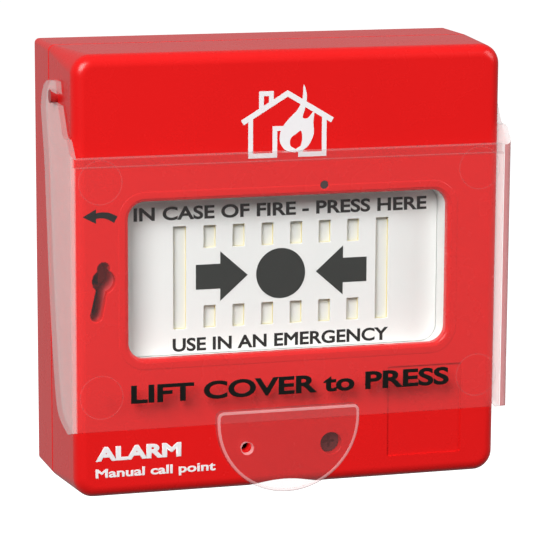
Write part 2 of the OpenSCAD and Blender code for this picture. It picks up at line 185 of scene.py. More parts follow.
# ---------------------------------------------------------------- meshes


def new_object(name, bm):
    mesh = bpy.data.meshes.new(name)
    bmesh.ops.recalc_face_normals(bm, faces=bm.faces[:])
    bm.to_mesh(mesh)
    bm.free()
    obj = bpy.data.objects.new(name, mesh)
    SCENE.collection.objects.link(obj)
    return obj


def add_loft(bm, loops):
    """A closed solid through equal-length loops of points in millimetres, capped at both ends."""
    rings = [[bm.verts.new(Vector(p) * MM) for p in loop] for loop in loops]
    count = len(rings[0])
    for a, b in zip(rings, rings[1:]):
        for k in range(count):
            bm.faces.new((a[k], a[(k + 1) % count], b[(k + 1) % count], b[k]))
    bm.faces.new(rings[0][::-1])
    bm.faces.new(rings[-1])


def loft(name, loops):
    bm = bmesh.new()
    add_loft(bm, loops)
    return new_object(name, bm)


def at_y(outline, y):
    """An outline of (x, z) placed at depth y."""
    return [(x, y, z) for x, z in outline]


def prism_y(name, outlines, y0, y1):
    """One object of solids, each an (x, z) outline run from y0 to y1."""
    bm = bmesh.new()
    for outline in outlines:
        add_loft(bm, [at_y(outline, y0), at_y(outline, y1)])
    return new_object(name, bm)


def prism_x(name, outline, x0, x1):
    """A solid whose (y, z) outline runs from x0 to x1."""
    return loft(name, [[(x, y, z) for y, z in outline] for x in (x0, x1)])


def prism_z(name, outline, z0, z1):
    """A solid whose (x, y) outline runs from z0 to z1."""
    return loft(name, [[(x, y, z) for x, y in outline] for z in (z0, z1)])


def flared_hole(name, outline_for, radius, y_face, y_end, steps=5):
    """A cutter for a hole in a face at y_face whose rim is rounded by radius.

    outline_for(grow) gives the hole's outline, grown outwards by that much."""
    loops = [at_y(outline_for(radius), y_face - 1), at_y(outline_for(radius), y_face)]
    for k in range(1, steps + 1):
        turn = math.radians(90 * k / steps)
        grow = radius * (1 - math.sin(turn))
        loops.append(at_y(outline_for(grow), y_face + radius * (1 - math.cos(turn))))
    loops.append(at_y(outline_for(0), y_end))
    return loft(name, loops)


def combine(obj, others, operation):
    """Cuts, joins or intersects obj with the other objects, which are used up."""
    for other in others:
        step = obj.modifiers.new("bool", "BOOLEAN")
        step.operation = operation
        step.solver = "EXACT"
        step.object = other
    depsgraph = bpy.context.evaluated_depsgraph_get()
    mesh = bpy.data.meshes.new_from_object(obj.evaluated_get(depsgraph))
    obj.modifiers.clear()
    obj.data = mesh
    for other in others:
        bpy.data.objects.remove(other)
    return obj


def cut(obj, *others):
    return combine(obj, others, "DIFFERENCE")


def join(obj, *others):
    return combine(obj, others, "UNION")


def score(obj, planes):
    """Cuts flat faces along planes, so that the finish can change there."""
    bm = bmesh.new()
    bm.from_mesh(obj.data)
    for point, normal in planes:
        everything = bm.verts[:] + bm.edges[:] + bm.faces[:]
        bmesh.ops.bisect_plane(
            bm, geom=everything, dist=0.001 * MM, plane_co=Vector(point) * MM, plane_no=Vector(normal)
        )
    bm.to_mesh(obj.data)
    bm.free()


def refinish(obj, material, chosen):
    """A second finish for the faces that chosen(centre in mm, normal) picks."""
    obj.data.materials.append(MATERIALS[material])
    for face in obj.data.polygons:
        if chosen(face.center / MM, face.normal):
            face.material_index = len(obj.data.materials) - 1


def soften(obj, width=0.0, angle=35, segments=2):
    """Rounds the sharp edges a little, and shades the rest smoothly."""
    bm = bmesh.new()
    bm.from_mesh(obj.data)
    bmesh.ops.remove_doubles(bm, verts=bm.verts, dist=0.002 * MM)
    bmesh.ops.dissolve_degenerate(bm, edges=bm.edges, dist=0.002 * MM)
    limit = math.radians(angle)
    for face in bm.faces:
        face.smooth = True
    for edge in bm.edges:
        edge.smooth = len(edge.link_faces) == 2 and edge.calc_face_angle(0) < limit
    bm.to_mesh(obj.data)
    bm.free()
    if width:
        bevel = obj.modifiers.new("edge", "BEVEL")
        bevel.width = width * MM
        bevel.segments = segments
        bevel.limit_method = "ANGLE"
        bevel.angle_limit = limit
        bevel.harden_normals = False
        bevel.miter_outer = "MITER_ARC"
    normals = obj.modifiers.new("normals", "WEIGHTED_NORMAL")
    normals.keep_sharp = True
    normals.weight = 80
    return obj


# ---------------------------------------------------------------- materials


def shader_graph(name):
    mat = bpy.data.materials.new(name)
    mat.use_nodes = True
    tree = mat.node_tree
    return mat, tree, tree.nodes["Principled BSDF"]


def link(tree, out_node, out_name, in_node, in_name):
    tree.links.new(out_node.outputs[out_name], in_node.inputs[in_name])


def noise(tree, scale, detail=3.0, stretch=None):
    """Noise in object space; scale is in waves per metre."""
    where = tree.nodes.new("ShaderNodeTexCoord")
    node = tree.nodes.new("ShaderNodeTexNoise")
    node.inputs["Scale"].default_value = scale
    node.inputs["Detail"].default_value = detail
    if stretch:
        mapping = tree.nodes.new("ShaderNodeMapping")
        mapping.inputs["Scale"].default_value = stretch
        link(tree, where, "Object", mapping, "Vector")
        link(tree, mapping, "Vector", node, "Vector")
    else:
        link(tree, where, "Object", node, "Vector")
    return node


def remap(tree, source, out_name, low, high, from_low=0.35, from_high=0.65):
    node = tree.nodes.new("ShaderNodeMapRange")
    node.inputs["From Min"].default_value = from_low
    node.inputs["From Max"].default_value = from_high
    node.inputs["To Min"].default_value = low
    node.inputs["To Max"].default_value = high
    link(tree, source, out_name, node, "Value")
    return node


def two_tone(tree, source, out_name, dark, light):
    node = tree.nodes.new("ShaderNodeMix")
    node.data_type = "RGBA"
    node.inputs["A"].default_value = (*dark, 1)
    node.inputs["B"].default_value = (*light, 1)
    link(tree, source, out_name, node, "Factor")
    return node


def scaled(colour, factor):
    return tuple(min(1.0, c * factor) for c in colour)


def roughen(tree, shader, height, strength, depth):
    """Surface texture from a pattern node's height, depth in millimetres."""
    bump = tree.nodes.new("ShaderNodeBump")
    bump.inputs["Strength"].default_value = strength
    bump.inputs["Distance"].default_value = depth * MM
    link(tree, height, "Fac", bump, "Height")
    link(tree, bump, "Normal", shader, "Normal")


def moulded(
    name, colour, rough=0.3, grain=2600, depth=0.006, spread=0.04, specular=0.5, variation=0.03
):
    """Moulded plastic: faint cloudy colour, uneven gloss and a fine skin texture."""
    mat, tree, shader = shader_graph(name)
    cloud = noise(tree, 45, 4)
    tone = two_tone(tree, cloud, "Fac", scaled(colour, 1 - variation), scaled(colour, 1 + variation))
    link(tree, tone, "Result", shader, "Base Color")
    gloss = remap(tree, noise(tree, 160, 3), "Fac", rough - spread, rough + spread, 0.2, 0.8)
    link(tree, gloss, "Result", shader, "Roughness")
    roughen(tree, shader, noise(tree, grain, 2), 0.35, depth)
    shader.inputs["Specular IOR Level"].default_value = specular
    return mat


def metal(name, colour, rough=0.3, brush=(1, 1, 1), spread=0.08):
    """Drawn or plated metal with fine streaks along one direction."""
    mat, tree, shader = shader_graph(name)
    shader.inputs["Metallic"].default_value = 1.0
    streak = noise(tree, 900, 4, brush)
    tone = two_tone(tree, streak, "Fac", scaled(colour, 0.85), scaled(colour, 1.1))
    link(tree, tone, "Result", shader, "Base Color")
    link(tree, remap(tree, streak, "Fac", rough - spread, rough + spread), "Result", shader, "Roughness")
    roughen(tree, shader, streak, 0.3, 0.01)
    return mat


def clear_plastic(name, tint, rough, face_on, edge_on, power=2.0):
    """See-through plastic: face_on and edge_on are how solid it looks face on and at a slant."""
    mat, tree, shader = shader_graph(name)
    cloud = noise(tree, 60, 3)
    tone = two_tone(tree, cloud, "Fac", scaled(tint, 0.97), scaled(tint, 1.03))
    link(tree, tone, "Result", shader, "Base Color")
    gloss = remap(tree, noise(tree, 240, 3), "Fac", rough - 0.03, rough + 0.03)
    link(tree, gloss, "Result", shader, "Roughness")
    slant = tree.nodes.new("ShaderNodeLayerWeight")
    slant.inputs["Blend"].default_value = 0.5
    curve = tree.nodes.new("ShaderNodeMath")
    curve.operation = "POWER"
    curve.inputs[1].default_value = power
    link(tree, slant, "Facing", curve, 0)
    link(tree, remap(tree, curve, "Value", face_on, edge_on, 0, 1), "Result", shader, "Alpha")
    roughen(tree, shader, noise(tree, 1500, 2), 0.25, 0.01)
    shader.inputs["Specular IOR Level"].default_value = 0.3
    return mat


def circuit_mask(name):
    """Green solder mask with straight tracks showing under it."""
    mat, tree, shader = shader_graph(name)
    where = tree.nodes.new("ShaderNodeTexCoord")
    tracks = tree.nodes.new("ShaderNodeTexBrick")
    tracks.inputs["Scale"].default_value = 260
    tracks.inputs["Mortar Size"].default_value = 0.06
    tracks.inputs["Color1"].default_value = (0.012, 0.11, 0.045, 1)
    tracks.inputs["Color2"].default_value = (0.015, 0.13, 0.05, 1)
    tracks.inputs["Mortar"].default_value = (0.03, 0.22, 0.09, 1)
    turn = tree.nodes.new("ShaderNodeMapping")
    turn.inputs["Rotation"].default_value = (math.radians(90), 0, 0)
    link(tree, where, "Object", turn, "Vector")
    link(tree, turn, "Vector", tracks, "Vector")
    link(tree, tracks, "Color", shader, "Base Color")
    link(tree, remap(tree, noise(tree, 400), "Fac", 0.25, 0.4), "Result", shader, "Roughness")
    roughen(tree, shader, tracks, 0.4, 0.03)
    return mat


RED = (0.70, 0.009, 0.009)
MATERIALS = {
    "housing_red": moulded("housing_red", RED, rough=0.27, spread=0.015, specular=0.3),
    "white_plastic": moulded("white_plastic", (0.80, 0.82, 0.80), rough=0.38),
    "chassis_plastic": moulded("chassis_plastic", (0.74, 0.74, 0.70), rough=0.5, grain=1800, depth=0.02),
    "black_plastic": moulded("black_plastic", (0.02, 0.02, 0.022), rough=0.42, grain=1800, depth=0.02),
    # painted light: paler than the housing red, so that the deep key hole reads lit instead of black
    "key_red_painted_light": moulded("key_red_painted_light", (0.70, 0.06, 0.065), rough=0.5),
    # painted shade: darker than the housing red, for the hinge studs in shade under the wings
    "stud_red_painted_shade": moulded("stud_red_painted_shade", (0.40, 0.012, 0.012), rough=0.3),
    "yellow_plastic": moulded("yellow_plastic", (0.86, 0.68, 0.10), rough=0.4),
    "orange_plastic": moulded("orange_plastic", (0.75, 0.24, 0.03), rough=0.45),
    "button_red": moulded("button_red", (0.55, 0.03, 0.03), rough=0.35),
    "rubber_black": moulded("rubber_black", (0.022, 0.022, 0.023), rough=0.75, grain=1200, depth=0.06),
    "block_green": moulded("block_green", (0.03, 0.20, 0.09), rough=0.45),
    "resistor_tan": moulded("resistor_tan", (0.60, 0.42, 0.22), rough=0.35),
    "print_black": moulded("print_black", (0.006, 0.007, 0.006), rough=0.55, specular=0.15, variation=0.1),
    "print_white": moulded("print_white", (0.80, 0.78, 0.79), rough=0.4),
    "print_charcoal": moulded(
        "print_charcoal", (0.018, 0.023, 0.020), rough=0.55, specular=0.2, variation=0.1
    ),
    "clear_plastic": clear_plastic("clear_plastic", (0.44, 0.40, 0.40), 0.14, 0.035, 0.6, 2.8),
    # painted sheen: the wings' side faces are drawn paler and more solid than the panel, for light glancing
    # off them
    "clear_wing_painted_sheen": clear_plastic("clear_wing_painted_sheen", (0.88, 0.79, 0.77), 0.16, 0.22, 0.52, 1.5),
    # painted light: a dark red tint on the right wing's front strip stands in for red light bounced from
    # the housing
    "clear_edge_painted_red_bounce": clear_plastic("clear_edge_painted_red_bounce", (0.50, 0.07, 0.075), 0.2, 0.78, 0.92),
    # painted shade: a darker band on the panel over the top wall, under its top edge
    "clear_rib_painted_shade": clear_plastic("clear_rib_painted_shade", (0.34, 0.11, 0.11), 0.2, 0.20, 0.8),
    # painted shade: a dark red tint darkens the tab, in place of the shadow it does not cast
    "clear_tab_painted_shade": clear_plastic("clear_tab_painted_shade", (0.27, 0.10, 0.10), 0.16, 0.15, 0.5, 1.8),
    # painted highlight: bright pink on the tab's rolled rim and on the seal hole's wall
    "clear_rim_painted_highlight": clear_plastic("clear_rim_painted_highlight", (0.95, 0.60, 0.60), 0.2, 0.36, 0.8, 1.5),
    "smoked_clear": moulded("smoked_clear", (0.05, 0.035, 0.035), rough=0.15),
    "lamp_red": moulded("lamp_red", (0.50, 0.02, 0.02), rough=0.12),
    "screw_steel": metal("screw_steel", (0.62, 0.62, 0.64), 0.32),
    "screw_painted": moulded("screw_painted", (0.07, 0.02, 0.02), rough=0.45, specular=0.3),
    "spring_steel": metal("spring_steel", (0.58, 0.59, 0.60), 0.25, (1, 8, 1)),
    "contact_brass": metal("contact_brass", (0.72, 0.55, 0.24), 0.3),
    "board_green": circuit_mask("board_green"),
}


def paint(obj, material):
    obj.data.materials.clear()
    obj.data.materials.append(MATERIALS[material])
    return obj


def piece(obj, body, material, replaces=()):
    """Puts a finished piece in the model: its finish, its body and the CAD nodes it stands for."""
    paint(obj, material)
    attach(obj, body)
    if replaces:
        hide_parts(*replaces)
    return obj


# ---------------------------------------------------------------- camera, light and floor


def camera():
    """The photograph's view: from the left of the face, a little above it."""
    yaw, pitch, roll = (math.radians(a) for a in (16.558, 10.657, 0.286))
    ahead = Vector((math.sin(yaw) * math.cos(pitch), math.cos(yaw) * math.cos(pitch), -math.sin(pitch)))
    right = Vector((math.cos(yaw), -math.sin(yaw), 0))
    up = right.cross(ahead)
    tilted_right = math.cos(roll) * right + math.sin(roll) * up
    tilted_up = math.cos(roll) * up - math.sin(roll) * right
    data = bpy.data.cameras.new("camera")
    data.lens = 183.71
    data.sensor_width = 36
    data.clip_start = 0.01
    data.clip_end = 50
    obj = bpy.data.objects.new("camera", data)
    place = Matrix((tilted_right, tilted_up, -ahead)).transposed().to_4x4()
    place.translation = Vector((-189.316, -663.938, 122.698)) * MM
    obj.matrix_world = place
    SCENE.collection.objects.link(obj)
    SCENE.camera = obj


def soft_box(name, place, target, size, power):
    """A square studio light at place, in metres, that looks at target."""
    data = bpy.data.lights.new(name, "AREA")
    data.shape = "RECTANGLE"
    data.size, data.size_y = size
    data.energy = power
    obj = bpy.data.objects.new(name, data)
    obj.location = place
    obj.rotation_euler = (Vector(target) - Vector(place)).to_track_quat("-Z", "Y").to_euler()
    SCENE.collection.objects.link(obj)


def world():
    """A light tent: bright behind the object, dimmer on the camera's side."""
    sky = bpy.data.worlds.new("tent")
    SCENE.world = sky
    sky.use_nodes = True
    tree = sky.node_tree
    where = tree.nodes.new("ShaderNodeTexCoord")
    split = tree.nodes.new("ShaderNodeSeparateXYZ")
    link(tree, where, "Generated", split, "Vector")
    ramp = remap(tree, split, "Y", 0.06, 0.37, -0.30, 0.45)
    seen = tree.nodes.new("ShaderNodeLightPath")
    pick = tree.nodes.new("ShaderNodeMix")
    pick.inputs["B"].default_value = 1.0
    link(tree, seen, "Is Camera Ray", pick, "Factor")
    link(tree, ramp, "Result", pick, "A")
    link(tree, pick, "Result", tree.nodes["Background"], "Strength")
    tree.nodes["Background"].inputs["Color"].default_value = (1, 1, 1, 1)


def floor():
    """Pale ground for the camera only, so that it doesn't light the part from below."""
    bm = bmesh.new()
    bmesh.ops.create_grid(bm, x_segments=8, y_segments=8, size=6)
    obj = new_object("floor", bm)
    obj.location = (0, 5.2, -0.30)
    mat, tree, shader = shader_graph("floor_pale")
    shader.inputs["Roughness"].default_value = 0.9
    shader.inputs["Emission Color"].default_value = (1, 1, 1, 1)
    shader.inputs["Emission Strength"].default_value = 0.85
    tone = two_tone(tree, noise(tree, 3), "Fac", (0.86, 0.86, 0.86), (0.9, 0.9, 0.9))
    link(tree, tone, "Result", shader, "Base Color")
    obj.data.materials.append(mat)
    obj.visible_diffuse = False
    obj.visible_glossy = False


SCENE.view_settings.view_transform = "Standard"
camera()
world()
floor()
soft_box("key_light", (-0.9, -1.2, 0.95), (0, 0, 0), (0.9, 0.9), 40)
soft_box("fill_light", (1.5, -1.1, 0.9), (0, 0, 0), (1.0, 1.0), 17)
soft_box("top_light", (0, -0.5, 1.5), (0, 0, 0), (1.4, 1.0), 1)

# ---------------------------------------------------------------- front housing


def window_outline(grow=0.0):
    return rounded_rect(WINDOW_X + grow, WINDOW_H + grow, WINDOW_R + grow, 0, WINDOW_Z)


def key_outline(grow=0.0):
    """Key-shaped hole: a hub, a short lobe above it and a leaning leg below it."""
    x, z = KEY
    hub, lobe, leg = 2.75 + grow, 1.5 + grow, 1.4 + grow
    lobe_top = z + 3.0
    foot = (x - 1.8, z - 8.1)
    lean = math.degrees(math.atan2(foot[1] - z, foot[0] - x))
    lobe_turn = math.degrees(math.asin(lobe / hub)) * 0.96
    leg_turn = math.degrees(math.asin(leg / hub)) * 0.96
    outline = arc(x, z, hub, 90 + lobe_turn, 360 + lean - leg_turn, 12)
    outline += arc(*foot, leg, lean + 270, lean + 450, 8)
    outline += arc(x, z, hub, lean + leg_turn, 90 - lobe_turn, 12)
    outline += arc(x, lobe_top, lobe, 0, 180, 8)
    return outline


def housing_loops():
    """Rings from the seam to the face: sides lean in, corners open up, the front edge is round."""
    loops = []
    for inset, y in ((0.35, SEAM_Y), (0.12, SEAM_Y - 0.12), (0.0, SEAM_Y - 0.4)):
        loops.append(at_y(rounded_rect(SEAM_HALF_W - inset, HALF_H - inset, 1.6 - inset), y))
    steps = 9
    for k in range(steps + 1):
        turn = math.radians(90 * k / steps)
        inset = EDGE_R * (1 - math.cos(turn))
        y = FACE_Y + EDGE_R * (1 - math.sin(turn))
        loops.append(at_y(rounded_rect(FACE_HALF_W - inset, HALF_H - inset, 4.8 - inset * 0.8), y))
    return loops


def front_housing():
    """The red front shell with its openings, the label recess, the notch and the posts inside."""
    shell = loft("front_shell", housing_loops())
    cavity = prism_y("cavity", [rounded_rect(HALF_W - WALL - 0.35, HALF_H - WALL, 2.5)], SKIN_Y, SEAM_Y + 1)
    window = flared_hole("window", window_outline, 0.9, FACE_Y, SKIN_Y + 1)
    key = flared_hole("key", key_outline, 0.35, FACE_Y, SKIN_Y + 1, 3)
    lamp = flared_hole("lamp", lambda g: circle(*LAMP, 1.0 + g, 32), 0.15, FACE_Y, SKIN_Y + 1, 2)
    screw = flared_hole("screw", lambda g: circle(*SCREW, 2.6 + g, 40), 0.3, FACE_Y, SKIN_Y + 1, 3)
    seal = flared_hole("seal", lambda g: circle(*SEAL_HOLE, 1.0 + g, 28), 0.12, FACE_Y, SKIN_Y + 1, 2)
    label = prism_y("label", [rounded_rect(9.4, 11.1, 0.4, 34.0, -35.9, 4)], FACE_Y - 1, FACE_Y + 0.4)
    bezel_rings = ((2.5, -0.3), (2.5, 0.02), (2.2, 0.14))
    bezel = loft("bezel", [at_y(window_outline(grow), FACE_Y - up) for grow, up in bezel_rings])
    stud_outline = circle(HINGE_Y, HINGE_Z, STUD_R + 0.05, 32)
    studs = [
        loft("stud_hole", [[(x, y, z) for y, z in stud_outline] for x in span])
        for span in ((48, 56), (-56, -48))
    ]
    notch_r = 27.7
    notch = flared_hole(
        "notch", lambda g: circle(-1.2, -HALF_H - 26.2, notch_r + g, 180), 0.8, FACE_Y, FACE_Y + 12, 4
    )
    join(shell, bezel)
    cut(shell, cavity, window, key, lamp, screw, seal, label, notch, *studs)
    posts = []
    for x, z in ((45.5, 28), (-45.5, 28), (45.5, -30), (-45.5, -30)):
        post = prism_y("post", [circle(x, z, 3.0, 32)], SKIN_Y - 0.5, -26)
        posts.append(cut(post, prism_y("pilot", [circle(x, z, 1.25, 24)], -34, -25)))
    tube = prism_y("tube", [circle(*SCREW, 4.4, 40)], SKIN_Y - 0.5, FACE_Y + 6.2)
    bore = prism_y("bore", [circle(*SCREW, 2.6, 40)], FACE_Y - 1, FACE_Y + 4.1)
    shank = prism_y("shank", [circle(*SCREW, 1.6, 32)], FACE_Y, FACE_Y + 8)
    join(shell, *posts, cut(tube, bore, shank))
    soften(shell, angle=28)
    return piece(shell, "root", "housing_red", ["front_housing"])


# ---------------------------------------------------------------- back box


def back_box():
    """The wall box: open in front, with its lip, the fixing holes and the cable hole."""
    loops = []
    for inset, y in ((0.5, 0.0), (0.15, -0.15), (0.0, -0.5), (0.0, SEAM_Y + 0.35), (0.3, SEAM_Y)):
        radius = 1.2 if y > SEAM_Y / 2 else 1.6
        loops.append(at_y(rounded_rect(HALF_W - inset, HALF_H - inset, radius - inset * 0.5), y))
    shell = loft("back_shell", loops)
    inner_w, inner_h = HALF_W - WALL, HALF_H - WALL
    lip = prism_y("lip", [rounded_rect(inner_w - 0.25, inner_h - 0.25, 1.2)], SEAM_Y - 1.8, SEAM_Y + 2)
    join(shell, lip)
    cavity = prism_y("cavity", [rounded_rect(inner_w - 1.65, inner_h - 1.65, 1.0)], SEAM_Y - 4, -WALL)
    cut(shell, cavity)
    holes = [(sx * 38, sz * 38) for sx in (-1, 1) for sz in (-1, 1)]
    pads = prism_y("pads", [circle(x, z, 4.45, 36) for x, z in holes], -WALL - 1.5, -WALL + 0.5)
    post = prism_y("post", [circle(*SCREW, 3.5, 36)], FACE_Y + 6.4, -WALL + 0.5)
    join(shell, pads, post)
    drill = prism_y("drill", [circle(x, z, 2.25, 36) for x, z in holes], -8, 2)
    sinks = [
        loft("sink", [at_y(circle(x, z, r, 36), y) for r, y in ((2.3, -0.45), (3.3, 0.55))])
        for x, z in holes
    ]
    slots = prism_y("slots", [capsule((s * 30 - 2.5, 0), (s * 30 + 2.5, 0), 4.5) for s in (-1, 1)], -8, 2)
    cable = prism_y("cable", [circle(0, 22, 9.0, 64)], -8, 2)
    pilot = prism_y("pilot", [circle(*SCREW, 1.45, 32)], FACE_Y, -18)
    knockout_z, knockout_r, groove = -24, 9.8, 0.6
    knockout = prism_y("knockout", [circle(0, knockout_z, knockout_r + groove, 72)], -0.4, 1)
    cut(knockout, prism_y("disc", [circle(0, knockout_z, knockout_r, 72)], -1, 2))
    up_mark = prism_y("up_mark", [[(-2.4, 43.5), (2.4, 43.5), (0, 47.3)]], -0.3, 1)
    cut(shell, drill, slots, cable, pilot, knockout, up_mark, *sinks)
    soften(shell, angle=28)
    return piece(shell, "root", "housing_red", ["back_box"])


# ---------------------------------------------------------------- window and press plate


def tray_outline(grow=0.0):
    """The white tray and plate behind the window, a little taller than it."""
    middle, half = (PLATE_LOW.z + PLATE_HIGH.z) / 2, (PLATE_HIGH.z - PLATE_LOW.z) / 2 + 0.25
    return rounded_rect(WINDOW_X + grow, half + grow, WINDOW_R + grow, 0, middle)


def window_tray():
    """The white wall round the recessed plate, with a flange behind the housing's skin."""
    wall = loft("tray_shell", [at_y(tray_outline(1.2), y) for y in (SKIN_Y, PLATE_Y + 1.9)])
    flange = prism_y(
        "flange", [rounded_rect(WINDOW_X + 2.2, WINDOW_H + 1.2, 3, 0, WINDOW_Z)], SKIN_Y, SKIN_Y + 1
    )
    join(wall, flange)
    cut(wall, prism_y("inside", [tray_outline(0)], SKIN_Y - 1, PLATE_Y + 4))
    soften(wall, 0.15)
    return piece(wall, "root", "white_plastic", ["window_tray"])


def slot_outlines(grow=0.0):
    rows = [
        rounded_rect(1.5 + grow, 2.7 + grow, 0.25, (i - 2.5) * 7.14, PRINT_Z + s * 9.65, 3)
        for i in range(6)
        for s in (-1, 1)
    ]
    return rows + [rounded_rect(1.6 + grow, 12.4 + grow, 0.25, s * 25.2, PRINT_Z, 3) for s in (-1, 1)]


def press_plate():
    """The slotted plate, with a small rounded edge."""
    edge = 0.3
    back = PLATE_HIGH.y
    loops = [
        at_y(tray_outline(-0.06), back),
        at_y(tray_outline(-0.06), PLATE_Y + edge),
        at_y(tray_outline(-0.06 - edge * 0.3), PLATE_Y + edge * 0.3),
        at_y(tray_outline(-0.06 - edge), PLATE_Y),
    ]
    plate = loft("press_face", loops)
    cut(plate, prism_y("slots", slot_outlines(), PLATE_Y - 1, back + 1))
    soften(plate, 0.1, 40)
    return piece(plate, "press", "white_plastic", ["press_plate"])


# ---------------------------------------------------------------- cover


def cover_side_outline():
    """Side view of panel and wings, as (y, z): stepped arm up to the ear, curved back edge."""
    front = [(PANEL_FRONT, PANEL_LOW), (PANEL_FRONT, PANEL_TOP), (-41.2, 32.6)]
    arm = smooth_curve([(-40.3, 33.0), (-37.2, 33.3), (-34.8, 36.6), (-31.9, 41.0), (-31.0, 43.4)], 5)
    ear = smooth_curve([(-30.4, 45.3), (-25.3, 45.1), (-20.0, 44.2), (-16.3, 41.7), (-14.6, 37.9)], 6)
    back = smooth_curve(
        [
            (-14.7, 36.6), (-17.7, 25.1), (-18.9, 15.7), (-22.1, -7.9),
            (-26.5, -27.8), (-30.4, -34.2), (-39.4, -36.7),
        ],
        6,
    )
    return (front + arm + ear + back)[::-1]


def cover_plan_outline():
    """Plan of panel and wings, as (x, y), with round front corners."""
    half, out, tail, inner = COVER_HALF, COVER_HALF + 0.6, -10.0, PANEL_BACK
    points = [
        (-half, PANEL_FRONT), (half, PANEL_FRONT), (out, tail), (out - WING_T, tail),
        (half - WING_T, inner), (-half + WING_T, inner), (-out + WING_T, tail), (-out, tail),
    ]
    return round_corners(points, [1.5, 1.5, 0, 0, 0.5, 0.5, 0, 0], 6)


def cover_shell():
    """Panel, top wall and wings in one. Its finish changes where the plastic is seen end on, and carries
    painted light there:

    painted sheen on the wings, painted red bounce light on the right wing's front strip and painted shade
    on the rib under the top edge."""
    shell = prism_x("cover_shell", cover_side_outline(), -60, 60)
    plan = prism_z("plan", cover_plan_outline(), -60, 60)
    combine(shell, [plan], "INTERSECT")
    inside = COVER_HALF - WING_T
    wedge = [(-inside, PANEL_FRONT - 1), (inside, PANEL_FRONT - 1), (inside, FACE_Y), (-inside, FACE_Y)]
    cut(shell, prism_z("wedge", wedge, PANEL_TOP, 60))
    top = rounded_rect(COVER_HALF - 0.9, 1.1, 0.4, 0, PANEL_TOP - 1.15, 3)
    join(shell, prism_y("top_wall", [top], PANEL_BACK - 0.3, FACE_Y - 0.6))
    pivot = circle(HINGE_Y, HINGE_Z, STUD_R + 0.06, 32)
    mouth = capsule((HINGE_Y, HINGE_Z), (HINGE_Y - 12, HINGE_Z), 2.6)
    holes = []
    for low, high in ((51, 57), (-57, -51)):
        holes += [prism_x("pivot", pivot, low, high), prism_x("mouth", mouth, low, high)]
    cut(shell, *holes)
    rib_z = PANEL_TOP - 2.3
    strip_x = inside - 0.7
    score(shell, [((strip_x, 0, 0), (1, 0, 0)), ((-inside, 0, 0), (1, 0, 0)), ((0, 0, rib_z), (0, 0, 1))])
    soften(shell, 0.22, 40)
    piece(shell, "cover", "clear_plastic", ["cover_flap"])

    def on_front(centre, normal):
        return normal.y < -0.3 and centre.y < PANEL_FRONT + 1.0

    # painted sheen on the wings' side faces
    refinish(shell, "clear_wing_painted_sheen", lambda c, n: abs(n.x) > 0.6 and abs(c.x) > inside - 0.2)
    # painted red bounce light on the right wing's front strip
    refinish(shell, "clear_edge_painted_red_bounce", lambda c, n: on_front(c, n) and c.x > strip_x)
    # painted shade on the rib under the panel's top edge
    refinish(shell, "clear_rib_painted_shade", lambda c, n: on_front(c, n) and -inside < c.x < strip_x and c.z > rib_z)
    shell.visible_shadow = False


def cover_tab():
    """The D-shaped finger tab that hangs behind the panel's lower edge, with a rolled rim."""

    def outline(grow):
        r = TAB_R + grow
        x, z = TAB
        top = z + 2.9 + grow
        corner = 1.8 + grow
        return (
            arc(x, z, r, 180, 360, 40)
            + arc(x + r - corner, top - corner, corner, 0, 90, 8)
            + arc(x - r + corner, top - corner, corner, 90, 180, 8)
        )

    front, back, rim = PANEL_BACK - 0.05, FACE_Y - 0.6, 0.7
    loops = [at_y(outline(-0.25), back), at_y(outline(0), back - 0.25)]
    for k in range(7):
        turn = math.radians(90 * k / 6)
        loops.append(at_y(outline(-rim * (1 - math.cos(turn))), front + rim * (1 - math.sin(turn))))
    tab = loft("cover_tab", loops)
    floor_y = front + 0.25
    cut(tab, prism_y("pocket", [outline(-0.85)], front - 1, floor_y))
    hole = flared_hole(
        "seal_hole", lambda g: circle(*SEAL_HOLE, 1.35 + g, 32), 0.4, floor_y, back + 1, 4
    )
    cut(tab, hole)
    soften(tab, angle=30)
    # the tab's dark red tint is painted shade
    piece(tab, "cover", "clear_tab_painted_shade")
    seal = Vector((SEAL_HOLE[0], 0, SEAL_HOLE[1]))
    # painted highlight on the rim's front and the seal hole's wall
    refinish(tab, "clear_rim_painted_highlight", lambda c, n: c.y < floor_y - 0.02)
    refinish(tab, "clear_rim_painted_highlight", lambda c, n: abs(n.y) < 0.95 and (c - seal).xz.length < 2.0)
    tab.visible_shadow = False


def mould_rings():
    """Round ejector marks in the panel's four corners: fine raised rings."""
    bm = bmesh.new()
    turns, sides, thick = 64, 8, 0.09
    for x in (-47.0, 45.6):
        for z in (23.5, -27.0):
            ring = []
            for i in range(turns):
                a = 2 * math.pi * i / turns
                centre = Vector((x + 5.1 * math.cos(a), PANEL_FRONT, z + 5.1 * math.sin(a)))
                out = Vector((math.cos(a), 0, math.sin(a)))
                ring.append(
                    [
                        bm.verts.new(
                            (centre + out * thick * math.cos(b) + Vector((0, -thick * math.sin(b), 0))) * MM
                        )
                        for b in (2 * math.pi * k / sides for k in range(sides))
                    ]
                )
            for i in range(turns):
                a, b = ring[i], ring[(i + 1) % turns]
                for k in range(sides):
                    bm.faces.new((a[k], a[(k + 1) % sides], b[(k + 1) % sides], b[k]))
    rings = soften(new_object("mould_rings", bm), angle=60)
    rings.visible_shadow = False
    return piece(rings, "cover", "clear_plastic")


# ---------------------------------------------------------------- print


